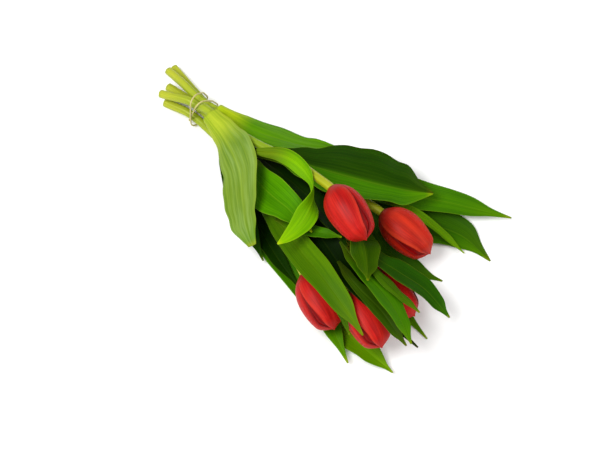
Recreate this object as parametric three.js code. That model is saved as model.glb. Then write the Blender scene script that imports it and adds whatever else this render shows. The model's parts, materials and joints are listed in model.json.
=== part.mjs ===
// A bunch of five tulips in closed bud, lying on its side and held by one doubled rubber band.
// Millimetres, +Z up. The bunch is laid out with the band at x = 0, the cut ends towards -X and
// the buds and leaf tips towards +X. Pieces are laid down one after another, each resting on
// what already lies there, and the finished bunch is moved so that its box stands on the origin.

import * as THREE from 'three';
import { mergeVertices } from 'three/addons/utils/BufferGeometryUtils.js';

// ---- driving dimensions --------------------------------------------------------------------

const SPREAD = 1;             // plan size of the bunch against the layout below
const STEM_DIAMETER = 8;
const STEM_SIDES = 10;
const STEM_STEPS = 20;
const LEAF_THICKNESS = 0.8;
const LEAF_WIDTH = 1;         // width of every leaf against the half widths below
const LEAF_STEPS = 14;
const LEAF_STRIPS = 4;
const BUD_LENGTH = 60;
const BUD_DIAMETER = 37;
const BUD_TIP_RADIUS = 3;
const BUD_WIDEST_AT = 0.42;   // share of the bud's length
const BUD_SHOULDER = 0.75;    // below 1 the bud swells quickly from its base
const BUD_BLUNTNESS = 1.9;    // 2 closes like an ellipse, more is blunter
const TEPAL_THICKNESS = 1;
const TEPAL_GAP = 1.2;        // between the inner and the outer ring of tepals
const TEPAL_HALF_ANGLE = 57;  // degrees
const TEPAL_STEPS = 8;
const TEPAL_STRIPS = 4;
const TEPAL_SQUARENESS = 8;   // more keeps a tepal wide for longer towards its tip
const INNER_TEPAL_REACH = 0.95;  // length of an inner tepal against an outer one
const STEM_IN_BUD = 2;        // how far a stem's top reaches into its bud
const STEM_CLEARANCE = 1.3;   // between the stem's top and the tepals round it
const BAND_DIAMETER = 1.8;
const BAND_SLANT = 7;         // half the distance between the band's two turns along X
const BAND_STEPS = 72;
const BAND_SIDES = 6;
const BAND_CLEARANCE = 0.4;
const BAND_CROSSING = 0.9;    // where round the bunch its two turns cross, as a share
const LAYER_GAP = 0.5;        // clear height between a piece and what it rests on
const LEAF_SAG = 0.12;        // droop of a leaf from one station to the next
const STEM_SAG = 0.02;
const BUD_DROOP = 4;          // how far a bud's tip may hang below its base
const TILT_SHARE = 0.7;       // how closely a leaf tilts with what lies under it
const TILT_MOST = 32;         // degrees
const CELL = 1;               // grid of the height map of the pile
const REACH = 480;            // half the side of that map

// ---- how finely the pile is worked out -------------------------------------------------------

const VISIT_STEP = 0.8 * CELL;    // spacing of the points that lay a piece on the height map
const SETTLING_ROUNDS = 400;      // rounds in which a strip settles on the pile
const TILT_ROUNDS = 4;            // rounds that even out a leaf's tilt along its length
const SLOPE_SAMPLES = 6;          // points under each half of a leaf that give its slope
const ROUND_SAMPLES = 8;          // points across a stem or bud that is laid on the pile
const LEAST_BEND = 0.01;          // radians, below which a leaf's section counts as flat
const LEAST_OVAL = 0.02;          // keeps a tepal's tip from closing to a point
const HULL_CORNERS = 24;          // corners of each stem's disc in the band's outline
const STEM_SAMPLES = 200;         // points along a stem that the band's outline is drawn round
const TANGENT_STEP = 0.001;       // share of the band over which its direction is measured
const MERGE_DISTANCE = 0.0001;

// ---- finishes --------------------------------------------------------------------------------

const STEM_COLOUR = '#a9b04a';
const OUTER_TEPAL_COLOUR = '#c03028';
const INNER_TEPAL_COLOUR = '#a82420';
const BAND_COLOUR = '#cdc88c';
const LEAF_ROUGHNESS = 0.5;
const STEM_ROUGHNESS = 0.5;
const TEPAL_ROUGHNESS = 0.45;
const BAND_ROUGHNESS = 0.6;

// Leaf colours, by the look of the blade.
const GREENS = {
  glaucous: '#82a046',
  pale: '#9fb860',
  mid: '#558c14',
  bright: '#6e9f10',
  dark: '#2c5a0c',
  olive: '#5c7a14',
};

// ---- layout --------------------------------------------------------------------------------
// Each stem's route over the surface, from its cut end to the base of its bud, the heading of
// the bud as one more point, and the angle in degrees from straight up to its first outer tepal
// (positive leans to the left).

const STEMS = {
  1: { route: [[-42, -14], [0, -4], [42, -6], [82, -5], [126, 0], [177, -2]], bud: [232, -19], turn: -39 },
  2: { route: [[-56, 11], [0, 4.5], [51, 15], [127, 23], [217, 27]], bud: [275, 26], turn: 5 },
  3: {
    route: [[-46, 0], [0, 0], [67, -8], [142, -21], [204, -37], [250, -57]],
    bud: [306, -79], turn: 18,
  },
  4: {
    route: [[-36, -15], [0, -9], [50, -14], [114, -27], [160, -50], [203, -70]],
    bud: [256, -90], turn: 16,
  },
  5: {
    route: [[-58, 20], [0, 9], [69, 5], [151, -3], [202, -13], [245, -24]],
    bud: [296, -28], turn: -5,
  },
};

// Each leaf's route from base to tip, and lists spread evenly along it: half widths in
// millimetres, rolls in degrees (positive lifts the left edge) and cups in degrees, which is
// half the angle that the cross-section bends through (positive is a trough).
const LEAVES = {
  leaf_01: {
    route: [[20, -11], [54, -20], [86, -35], [109, -55], [130, -73], [147, -82]],
    widths: [13, 17, 24, 25, 21, 15, 4], rolls: [6, 10, 14, 10, 0],
    cups: [-70, -50, -15, 15, 25, 20], green: 'glaucous', lift: 0,
  },
  leaf_02: {
    route: [[31, -1], [74, -33], [126, -63], [156, -78]],
    widths: [4, 10, 12, 8, 0.8], rolls: [5, 5, 0],
    cups: [10, 20, 25], green: 'dark', lift: 0,
  },
  leaf_03: {
    route: [[18, 4], [59, 10], [105, 30], [140, 58]],
    widths: [11, 17, 21, 14, 1], rolls: [0, -5, -5],
    cups: [-60, -30, 10, 20], green: 'pale', lift: 0,
  },
  leaf_04: {
    route: [[76, -12], [102, 3], [127, 14], [163, 33], [197, 52], [220, 66], [236, 78]],
    widths: [6, 8, 18, 31, 36, 27, 1], rolls: [0, -5, -5, 0],
    cups: [-30, 10, 30, 40, 25], green: 'mid', lift: 0,
  },
  leaf_05: {
    route: [[43, 11], [131, 32], [207, 64], [255, 90], [305, 116]],
    widths: [4, 12, 18, 19, 14, 0.8], rolls: [0, 0, 0],
    cups: [10, 30, 25], green: 'mid', lift: 6,
  },
  leaf_06: {
    route: [[80, 15], [158, 31], [232, 54], [278, 72], [317, 70]],
    widths: [4, 14, 22, 29, 19, 0.8], rolls: [0, 0, 0],
    cups: [10, 25, 20], green: 'mid', lift: 0,
  },
  leaf_07: {
    route: [[199, 44], [234, 55], [264, 59], [294, 58]],
    widths: [2, 4, 4.5, 3.5, 0.6], rolls: [0, 10, 0], cups: [20, 20, 20], green: 'bright', lift: 0,
  },
  leaf_08: {
    route: [[160, 29], [204, 21], [240, 12], [272, 15], [296, 23]],
    widths: [4, 11, 13, 10, 0.8], rolls: [0, 10, 5],
    cups: [10, 25, 25], green: 'mid', lift: 0,
  },
  leaf_09: {
    route: [[205, 1], [223, -13], [242, -29], [258, -46]],
    widths: [9, 14, 15, 10, 0.8], rolls: [5, 5, 0],
    cups: [10, 20, 20], green: 'olive', lift: 0,
  },
  leaf_10: {
    route: [[226, -14], [250, -17], [270, -13], [296, -8], [331, -13]],
    widths: [2, 10, 14, 13, 8, 0.8], rolls: [0, 5, 0],
    cups: [5, 15, 20], green: 'dark', lift: 0,
  },
  leaf_11: {
    route: [[80, -8], [160, -18], [240, -20], [293, -27], [323, -32]],
    widths: [4, 14, 18, 14, 8, 0.8], rolls: [0, 0, 0],
    cups: [5, 5, 20], green: 'mid', lift: 0,
  },
  leaf_12: {
    route: [[222, -22], [246, -28], [283, -34], [312, -36]],
    widths: [1.5, 5, 7, 5, 0.8], rolls: [0, 0, 0],
    cups: [-20, -30, -20], green: 'olive', lift: 0,
  },
  leaf_13: {
    route: [[210, -29], [240, -37], [279, -45], [305, -55], [327, -66]],
    widths: [1.5, 8, 12, 13, 9, 0.8], rolls: [0, 0, 0],
    cups: [0, 10, 20], green: 'mid', lift: 0,
  },
  leaf_14: {
    route: [[222, -46], [250, -55], [284, -59], [308, -65], [324, -69]],
    widths: [1.5, 5, 7, 8, 6, 0.8], rolls: [0, 0, 0],
    cups: [0, 10, 20], green: 'olive', lift: 0,
  },
  leaf_15: {
    route: [[125, -20], [187, -34], [246, -53], [295, -60], [332, -62]],
    widths: [4, 13, 15, 11, 6, 0.8], rolls: [0, 0, 0],
    cups: [5, 5, 15], green: 'dark', lift: 0,
  },
  leaf_16: {
    route: [[83, -22], [133, -40], [182, -57], [225, -69], [262, -79], [288, -87]],
    widths: [5, 11, 14, 14, 11, 0.8], rolls: [5, 5, 5],
    cups: [-10, 15, 10], green: 'bright', lift: 0,
  },
  leaf_17: {
    route: [[89, -14], [117, -3], [137, -3], [155, -8], [166, -18], [174, -40], [175, -57], [172, -74]],
    widths: [3, 6, 8, 8, 4, 11, 11, 8, 0.8], rolls: [0, -5, 0, 20, 90, 160, 170, 175],
    cups: [-10, 15, 30, 30, -20, -25, -20], green: 'bright', lift: 0,
  },
  leaf_18: {
    route: [[145, -47], [181, -41], [210, -27]],
    widths: [3, 7, 8, 5, 0.8], rolls: [0, 0, 0],
    cups: [10, 15, 20], green: 'mid', lift: 0,
  },
  leaf_19: {
    route: [[64, -14], [112, -31], [155, -38], [186, -42]],
    widths: [5, 15, 20, 15, 0.8], rolls: [5, 5, 0], cups: [0, 20, 20], green: 'mid', lift: 0,
  },
  leaf_20: {
    route: [[69, -5], [122, -7], [178, -16], [222, -31]],
    widths: [4, 13, 16, 12, 0.8], rolls: [0, 0, 0],
    cups: [0, 10, 10], green: 'dark', lift: 0,
  },
  leaf_21: {
    route: [[69, -24], [130, -51], [191, -68], [237, -80], [285, -102]],
    widths: [4, 12, 16, 14, 10, 0.8], rolls: [0, 0, 0], cups: [10, 25, 25], green: 'mid', lift: 0,
  },
  leaf_22: {
    route: [[50, -11], [106, -43], [160, -65], [202, -76]],
    widths: [4, 10, 12, 8, 0.8], rolls: [0, 0, 0], cups: [10, 20, 20], green: 'dark', lift: 0,
  },
  leaf_23: {
    route: [[227, -70], [255, -80], [276, -91]],
    widths: [2, 4, 4, 3, 0.6], rolls: [0, 0, 0], cups: [0, 10, 10], green: 'olive', lift: 0,
  },
  leaf_24: {
    route: [[202, -61], [255, -78], [291, -80], [322, -81]],
    widths: [4, 11, 15, 11, 0.8], rolls: [0, 0, 0], cups: [10, 30, 35], green: 'bright', lift: 6,
  },
};

// What is laid down first lies lowest.
const LAYING_ORDER = [
  'leaf_24', 'leaf_11', 'leaf_06', 'leaf_05', 'leaf_07', 'leaf_21', 'leaf_22', 'leaf_02',
  'tulip_5', 'tulip_4', 'tulip_3', 'leaf_08', 'tulip_2', 'leaf_15', 'leaf_14', 'leaf_13',
  'leaf_12', 'leaf_10', 'leaf_23', 'leaf_16', 'leaf_20', 'leaf_18', 'leaf_19', 'leaf_09',
  'leaf_03', 'leaf_04', 'tulip_1', 'leaf_17', 'leaf_01',
];

// ---- the pile, as a height map over the surface ---------------------------------------------

const COLUMNS = Math.round(2 * REACH / CELL);
const pile = new Float32Array(COLUMNS * COLUMNS);

function cellOf(value) {
  return Math.round((value + REACH) / CELL);
}

function raisePile(x, y, height) {
  const index = cellOf(y) * COLUMNS + cellOf(x);
  pile[index] = Math.max(pile[index], height);
}

// The highest thing at a point or in the cells round it.
function pileTop(x, y) {
  const column = cellOf(x);
  const row = cellOf(y);
  let top = 0;
  for (let r = row - 1; r <= row + 1; r += 1) {
    for (let c = column - 1; c <= column + 1; c += 1) {
      top = Math.max(top, pile[r * COLUMNS + c]);
    }
  }
  return top;
}

// ---- helpers -------------------------------------------------------------------------------

function mixList(list, share) {
  const place = Math.min(Math.max(share, 0), 1) * (list.length - 1);
  const index = Math.min(Math.floor(place), list.length - 2);
  const blend = THREE.MathUtils.smoothstep(place - index, 0, 1);
  return list[index] * (1 - blend) + list[index + 1] * blend;
}

// Evenly spaced places along a route over the surface, with the direction across each one.
function walkRoute(route, steps) {
  const points = route.map(([x, y]) => new THREE.Vector3(x * SPREAD, y * SPREAD, 0));
  const curve = new THREE.CatmullRomCurve3(points, false, 'centripetal');
  const places = [];
  for (let i = 0; i <= steps; i += 1) {
    const share = i / steps;
    const point = curve.getPointAt(share);
    const ahead = curve.getTangentAt(share);
    places.push({ share, x: point.x, y: point.y, acrossX: -ahead.y, acrossY: ahead.x });
  }
  return places;
}

// Visits points spread over a strip of stations no further apart than a cell. A station's
// profile runs across the piece; low and high are heights against the station's own centre.
function visitStrip(stations, visit) {
  for (let i = 0; i < stations.length - 1; i += 1) {
    const near = stations[i];
    const far = stations[i + 1];
    for (let j = 0; j < near.profile.length - 1; j += 1) {
      const corners = [near.profile[j], near.profile[j + 1], far.profile[j], far.profile[j + 1]];
      const longest = Math.max(
        Math.hypot(corners[0].x - corners[2].x, corners[0].y - corners[2].y),
        Math.hypot(corners[1].x - corners[3].x, corners[1].y - corners[3].y),
      );
      const widest = Math.max(
        Math.hypot(corners[0].x - corners[1].x, corners[0].y - corners[1].y),
        Math.hypot(corners[2].x - corners[3].x, corners[2].y - corners[3].y),
      );
      const alongSteps = Math.ceil(longest / (VISIT_STEP));
      const acrossSteps = Math.ceil(widest / (VISIT_STEP));
      for (let a = 0; a <= alongSteps; a += 1) {
        const f = a / alongSteps;
        for (let b = 0; b <= acrossSteps; b += 1) {
          const g = acrossSteps ? b / acrossSteps : 0;
          const weights = [(1 - f) * (1 - g), (1 - f) * g, f * (1 - g), f * g];
          const mixed = { x: 0, y: 0, low: 0, high: 0 };
          corners.forEach((corner, k) => {
            mixed.x += corner.x * weights[k];
            mixed.y += corner.y * weights[k];
            mixed.low += corner.low * weights[k];
            mixed.high += corner.high * weights[k];
          });
          visit(i, f, mixed);
        }
      }
    }
  }
}

// The least height of each station's centre that keeps the strip clear of the pile.
function leastHeights(stations) {
  const least = stations.map(() => 0);
  visitStrip(stations, (i, f, { x, y, low }) => {
    const height = pileTop(x, y) + LAYER_GAP - low;
    least[i] = Math.max(least[i], height);
    least[i + 1] = Math.max(least[i + 1], height);
  });
  return least;
}

// Lets a strip down on the pile: it spans hollows like a springy strip and touches the tops.
// A held station stays down on the pile.
function relax(heights, least, sag, lastIsFree, isHeld = () => false) {
  const last = heights.length - 1;
  for (let round = 0; round < SETTLING_ROUNDS; round += 1) {
    for (let i = 1; i < last; i += 1) {
      const spanned = isHeld(i) ? 0 : (heights[i - 1] + heights[i + 1]) / 2 - sag;
      heights[i] = Math.max(least[i], spanned);
    }
    if (lastIsFree) {
      const carried = heights[last - 1] + (heights[last - 1] - heights[last - 2]) / 2;
      heights[last] = Math.max(least[last], carried - sag);
    }
  }
  return heights;
}

function layOnPile(stations, heights) {
  visitStrip(stations, (i, f, { x, y, high }) => {
    raisePile(x, y, heights[i] * (1 - f) + heights[i + 1] * f + high);
  });
}

function namedMesh(name, geometry, colour, roughness) {
  const material = new THREE.MeshStandardMaterial({ color: colour, roughness, metalness: 0 });
  const mesh = new THREE.Mesh(geometry, material);
  mesh.name = name;
  return mesh;
}

// A thin closed slab: a box whose vertices are moved to shape(along, across, side), where
// along is 0 to 1, across is -1 to 1 and side is -1 on the lower face and 1 on the upper.
function bentSlab(strips, steps, shape) {
  const box = new THREE.BoxGeometry(2, 1, 2, strips, steps, 1);
  box.deleteAttribute('normal');
  box.deleteAttribute('uv');
  const slab = mergeVertices(box);
  const positions = slab.attributes.position;
  for (let i = 0; i < positions.count; i += 1) {
    const point = shape(positions.getY(i) + 0.5, positions.getX(i), positions.getZ(i));
    positions.setXYZ(i, point.x, point.y, point.z);
  }
  slab.computeVertexNormals();
  return slab;
}

// ---- leaves --------------------------------------------------------------------------------

// A point of a leaf's cross-section: across is -1 to 1 and side is -1 to 1. The section is an
// arc that bends through twice the cup and is then rolled about the leaf's own line.
function leafPoint(leaf, place, across, side) {
  const half = mixList(leaf.widths, place.share) * LEAF_WIDTH;
  const cup = THREE.MathUtils.degToRad(mixList(leaf.cups, place.share));
  const roll = THREE.MathUtils.degToRad(mixList(leaf.rolls, place.share) + place.tilt);
  const bend = Math.abs(cup) < LEAST_BEND ? LEAST_BEND : cup;
  const angle = bend * across;
  const offset = side * LEAF_THICKNESS / 2;
  const sideways = half * Math.sin(angle) / bend - offset * Math.sin(angle);
  const upwards = half * (1 - Math.cos(angle)) / bend + offset * Math.cos(angle);
  const acrossBy = sideways * Math.cos(roll) - upwards * Math.sin(roll);
  return {
    x: place.x + place.acrossX * acrossBy,
    y: place.y + place.acrossY * acrossBy,
    rise: sideways * Math.sin(roll) + upwards * Math.cos(roll),
  };
}

function leafStations(leaf, places) {
  return places.map((place) => {
    const profile = [];
    for (let j = 0; j <= LEAF_STRIPS; j += 1) {
      const across = 2 * j / LEAF_STRIPS - 1;
      const faces = [-1, 1].map((side) => leafPoint(leaf, place, across, side));
      profile.push({
        x: (faces[0].x + faces[1].x) / 2,
        y: (faces[0].y + faces[1].y) / 2,
        low: Math.min(faces[0].rise, faces[1].rise),
        high: Math.max(faces[0].rise, faces[1].rise),
      });
    }
    return { profile };
  });
}

// Mean height of the pile under one half of a leaf at a place; edge is 1 for the left half.
function meanTop(place, half, edge) {
  let sum = 0;
  for (let k = 1; k <= SLOPE_SAMPLES; k += 1) {
    const acrossBy = edge * half * k / SLOPE_SAMPLES;
    sum += pileTop(place.x + place.acrossX * acrossBy, place.y + place.acrossY * acrossBy);
  }
  return sum / SLOPE_SAMPLES;
}

// Tilts a leaf with the slope of the pile across it, evened out along the leaf.
function tiltWithPile(leaf, places) {
  let tilts = places.map((place) => {
    const half = mixList(leaf.widths, place.share) * LEAF_WIDTH;
    const fall = meanTop(place, half, 1) - meanTop(place, half, -1);
    const slope = fall / Math.max(half, STEM_DIAMETER);
    const tilt = TILT_SHARE * THREE.MathUtils.radToDeg(Math.atan(slope));
    return THREE.MathUtils.clamp(tilt, -TILT_MOST, TILT_MOST);
  });
  for (let round = 0; round < TILT_ROUNDS; round += 1) {
    tilts = tilts.map((tilt, i) => {
      const before = tilts[Math.max(i - 1, 0)];
      const after = tilts[Math.min(i + 1, tilts.length - 1)];
      return (before + 2 * tilt + after) / 4;
    });
  }
  tilts.forEach((tilt, i) => {
    places[i].tilt = tilt;
  });
}

function makeLeaf(name) {
  const leaf = LEAVES[name];
  const places = walkRoute(leaf.route, LEAF_STEPS);
  tiltWithPile(leaf, places);
  const stations = leafStations(leaf, places);
  const least = leastHeights(stations);
  places.forEach((place, i) => {
    least[i] += leaf.lift * place.share ** 2;
  });
  const heights = relax([...least], least, LEAF_SAG, true);
  layOnPile(stations, heights);
  const geometry = bentSlab(LEAF_STRIPS, LEAF_STEPS, (along, across, side) => {
    const index = Math.round(along * LEAF_STEPS);
    const point = leafPoint(leaf, places[index], -across, side);
    return { x: point.x, y: point.y, z: heights[index] + point.rise };
  });
  return [namedMesh(name, geometry, GREENS[leaf.green], LEAF_ROUGHNESS)];
}

// ---- tulips: a stem and its bud --------------------------------------------------------------

const STEM_RADIUS = STEM_DIAMETER / 2;
const INNER_OFFSET = TEPAL_THICKNESS + TEPAL_GAP;
const BUD_BASE_RADIUS = STEM_RADIUS + STEM_CLEARANCE + TEPAL_THICKNESS + INNER_OFFSET;

// Outer radius of a bud at a share of its length: it swells from the base and closes at the tip.
function budRadius(share) {
  const widest = BUD_DIAMETER / 2;
  if (share < BUD_WIDEST_AT) {
    const swell = Math.sin(Math.PI / 2 * (share / BUD_WIDEST_AT) ** BUD_SHOULDER);
    return BUD_BASE_RADIUS + (widest - BUD_BASE_RADIUS) * swell;
  }
  const past = (share - BUD_WIDEST_AT) / (1 - BUD_WIDEST_AT);
  const close = Math.sqrt(1 - past ** BUD_BLUNTNESS);
  return BUD_TIP_RADIUS + (widest - BUD_TIP_RADIUS) * close;
}

function roundStation(place, radius) {
  const profile = [];
  for (let j = 0; j <= ROUND_SAMPLES; j += 1) {
    const angle = Math.PI * j / ROUND_SAMPLES;
    const acrossBy = -radius * Math.cos(angle);
    const rise = radius * Math.sin(angle);
    profile.push({
      x: place.x + place.acrossX * acrossBy,
      y: place.y + place.acrossY * acrossBy,
      low: -rise,
      high: rise,
    });
  }
  return { profile };
}

// Places along a bud's axis, from its base to its tip.
function budPlaces(base, towards, steps) {
  const heading = new THREE.Vector2(towards[0] * SPREAD - base.x, towards[1] * SPREAD - base.y);
  heading.normalize();
  const places = [];
  for (let i = 0; i <= steps; i += 1) {
    const share = i / steps;
    places.push({
      share,
      x: base.x + heading.x * BUD_LENGTH * share,
      y: base.y + heading.y * BUD_LENGTH * share,
      acrossX: -heading.y,
      acrossY: heading.x,
    });
  }
  return places;
}

// The outer tepals' radius as their rings make it: straight between one ring and the next.
function ringRadius(share) {
  const ring = Math.min(Math.floor(share * TEPAL_STEPS), TEPAL_STEPS - 1);
  const low = budRadius(ring / TEPAL_STEPS);
  const high = budRadius((ring + 1) / TEPAL_STEPS);
  return THREE.MathUtils.lerp(low, high, share * TEPAL_STEPS - ring);
}

// One tepal on a bud whose axis runs along +Z from the origin. The outline is an oval that
// keeps to its own third of the bud.
function tepalGeometry(turn, isInner) {
  const inset = isInner ? INNER_OFFSET : 0;
  const reach = isInner ? INNER_TEPAL_REACH : 1;
  return bentSlab(TEPAL_STRIPS, TEPAL_STEPS, (along, across, side) => {
    const share = along * reach;
    const outer = ringRadius(share) - inset;
    const radius = side > 0 ? outer : outer - TEPAL_THICKNESS;
    const oval = Math.sqrt(Math.max(1 - along ** TEPAL_SQUARENESS, LEAST_OVAL));
    const angle = turn + across * THREE.MathUtils.degToRad(TEPAL_HALF_ANGLE) * oval;
    return { x: radius * Math.cos(angle), y: radius * Math.sin(angle), z: share * BUD_LENGTH };
  });
}

function makeBud(number, base, tip) {
  const group = new THREE.Group();
  group.position.copy(base);
  const axis = tip.clone().sub(base).normalize();
  const left = new THREE.Vector3(-axis.y, axis.x, 0).normalize();
  const upward = new THREE.Vector3().crossVectors(axis, left);
  const frame = new THREE.Matrix4().makeBasis(upward, left.negate(), axis);
  group.quaternion.setFromRotationMatrix(frame);
  group.rotateZ(THREE.MathUtils.degToRad(-STEMS[number].turn));
  for (let k = 0; k < 3; k += 1) {
    for (const isInner of [false, true]) {
      const turn = 2 * Math.PI * (k / 3 + (isInner ? 1 / 6 : 0));
      const name = `bud_${number}_${isInner ? 'inner' : 'outer'}_${k + 1}`;
      const colour = isInner ? INNER_TEPAL_COLOUR : OUTER_TEPAL_COLOUR;
      group.add(namedMesh(name, tepalGeometry(turn, isInner), colour, TEPAL_ROUGHNESS));
    }
  }
  return group;
}

const stemLines = [];

function makeTulip(number) {
  const { route, bud } = STEMS[number];
  const stemPlaces = walkRoute(route, STEM_STEPS);
  const headPlaces = budPlaces(stemPlaces[STEM_STEPS], bud, TEPAL_STEPS);
  const stemStations = stemPlaces.map((place) => roundStation(place, STEM_RADIUS));
  const headStations = headPlaces.map((place) => roundStation(place, budRadius(place.share)));
  const leastStem = leastHeights(stemStations);
  const leastHead = leastHeights(headStations);

  // The bud leans at the slope of the line from the stem's support to the bud's own support.
  const headFoot = Math.max(...leastHead);
  const tipFoot = Math.max(leastHead[TEPAL_STEPS], headFoot - BUD_DROOP);
  const slope = (tipFoot - headFoot) / TEPAL_STEPS;
  const needed = leastHead.map((height, i) => height - slope * i);
  const baseHeight = Math.max(...needed, leastStem[STEM_STEPS]);
  const headHeights = headPlaces.map((place, i) => baseHeight + slope * i);

  leastStem[STEM_STEPS] = baseHeight;
  const isInBand = (i) => Math.abs(stemPlaces[i].x) < BAND_SLANT + STEM_DIAMETER;
  const stemHeights = relax([...leastStem], leastStem, STEM_SAG, false, isInBand);
  layOnPile(stemStations, stemHeights);
  layOnPile(headStations, headHeights);

  const base = new THREE.Vector3(headPlaces[0].x, headPlaces[0].y, headHeights[0]);
  const end = headPlaces[TEPAL_STEPS];
  const tip = new THREE.Vector3(end.x, end.y, headHeights[TEPAL_STEPS]);
  const line = stemPlaces.map((place, i) => new THREE.Vector3(place.x, place.y, stemHeights[i]));
  line.push(base.clone().lerp(tip, STEM_IN_BUD / BUD_LENGTH));
  const path = new THREE.CatmullRomCurve3(line, false, 'centripetal');
  stemLines.push(path);

  const section = new THREE.Shape();
  for (let k = 0; k < STEM_SIDES; k += 1) {
    const angle = 2 * Math.PI * k / STEM_SIDES;
    const corner = [STEM_RADIUS * Math.cos(angle), STEM_RADIUS * Math.sin(angle)];
    if (k === 0) {
      section.moveTo(...corner);
    } else {
      section.lineTo(...corner);
    }
  }
  section.closePath();
  const stem = new THREE.ExtrudeGeometry(section, { steps: STEM_STEPS, extrudePath: path });
  return [
    namedMesh(`stem_${number}`, stem, STEM_COLOUR, STEM_ROUGHNESS),
    makeBud(number, base, tip),
  ];
}

// ---- the rubber band -------------------------------------------------------------------------

// Corners round a set of discs in the plane across the bunch, as a convex outline.
function outlineRound(discs, radius) {
  const corners = [];
  for (const disc of discs) {
    for (let k = 0; k < HULL_CORNERS; k += 1) {
      const angle = 2 * Math.PI * k / HULL_CORNERS;
      corners.push([disc.y + radius * Math.cos(angle), disc.z + radius * Math.sin(angle)]);
    }
  }
  corners.sort((a, b) => a[0] - b[0] || a[1] - b[1]);
  const turn = (o, a, b) => (a[0] - o[0]) * (b[1] - o[1]) - (a[1] - o[1]) * (b[0] - o[0]);
  const half = (list) => {
    const chain = [];
    for (const corner of list) {
      while (chain.length > 1 && turn(chain.at(-2), chain.at(-1), corner) <= 0) {
        chain.pop();
      }
      chain.push(corner);
    }
    return chain.slice(0, -1);
  };
  return [...half(corners), ...half(corners.reverse())];
}

// The band is one closed loop that goes twice round the stems. Its turns slant away from each
// other along X and cross once, where one rides over the other.
function makeBand() {
  const discs = [];
  for (const path of stemLines) {
    for (const point of path.getSpacedPoints(STEM_SAMPLES)) {
      if (Math.abs(point.x) < BAND_SLANT + BAND_DIAMETER) {
        discs.push(point);
      }
    }
  }
  const rideOver = (BAND_DIAMETER + BAND_CLEARANCE) / 2;
  const stand = STEM_RADIUS + BAND_CLEARANCE + BAND_DIAMETER / 2 + rideOver;
  const outline = outlineRound(discs, stand).map(([y, z]) => new THREE.Vector3(0, y, z));
  const loop = new THREE.CatmullRomCurve3(outline, true, 'centripetal');
  const centre = new THREE.Vector3();
  outline.forEach((corner) => centre.add(corner));
  centre.divideScalar(outline.length);

  const bandPoint = (share) => {
    const angle = 4 * Math.PI * share;
    const point = loop.getPointAt((2 * share + BAND_CROSSING) % 1);
    const outward = point.clone().sub(centre).normalize();
    point.addScaledVector(outward, rideOver * Math.cos(angle / 2));
    point.x = BAND_SLANT * Math.sin(angle / 2);
    return point;
  };

  const ring = new THREE.TorusGeometry(1, 0.5, BAND_SIDES, BAND_STEPS);
  ring.deleteAttribute('normal');
  ring.deleteAttribute('uv');
  const positions = ring.attributes.position;
  for (let j = 0; j <= BAND_SIDES; j += 1) {
    for (let i = 0; i <= BAND_STEPS; i += 1) {
      const share = (i % BAND_STEPS) / BAND_STEPS;
      const point = bandPoint(share);
      const ahead = bandPoint((share + TANGENT_STEP) % 1).sub(point).normalize();
      const outward = new THREE.Vector3(0, point.y - centre.y, point.z - centre.z).normalize();
      const sideways = new THREE.Vector3().crossVectors(ahead, outward).normalize();
      const up = new THREE.Vector3().crossVectors(sideways, ahead);
      const angle = 2 * Math.PI * (j % BAND_SIDES) / BAND_SIDES;
      point.addScaledVector(up, Math.cos(angle) * BAND_DIAMETER / 2);
      point.addScaledVector(sideways, -Math.sin(angle) * BAND_DIAMETER / 2);
      positions.setXYZ(j * (BAND_STEPS + 1) + i, point.x, point.y, point.z);
    }
  }
  const band = mergeVertices(ring, MERGE_DISTANCE);
  band.computeVertexNormals();
  return namedMesh('rubber_band', band, BAND_COLOUR, BAND_ROUGHNESS);
}

// ---- assembly --------------------------------------------------------------------------------

const bunch = new THREE.Group();

// The band passes under the stems, so they start clear of it.
const underBand = 2 * BAND_DIAMETER + 2 * BAND_CLEARANCE;
for (let x = -BAND_SLANT - BAND_DIAMETER; x <= BAND_SLANT + BAND_DIAMETER; x += CELL / 2) {
  for (let y = -4 * STEM_DIAMETER; y <= 4 * STEM_DIAMETER; y += CELL / 2) {
    raisePile(x, y, underBand);
  }
}

for (const name of LAYING_ORDER) {
  if (name.startsWith('tulip_')) {
    bunch.add(...makeTulip(Number(name.slice('tulip_'.length))));
  } else {
    bunch.add(...makeLeaf(name));
  }
}
bunch.add(makeBand());

bunch.updateMatrixWorld(true);
const box = new THREE.Box3().setFromObject(bunch, true);
const middle = box.getCenter(new THREE.Vector3());
bunch.position.set(-middle.x, -middle.y, -box.min.z);

export default bunch;
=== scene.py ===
"""A bunch of five tulips in closed bud, lying on a pale floor and held by a rubber band.

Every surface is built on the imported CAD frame: the leaves, petals and stems follow the rings of
vertices of their CAD nodes, refined with smooth curves and given their fine relief. Metres.
"""
import json
import math
import random

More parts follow.
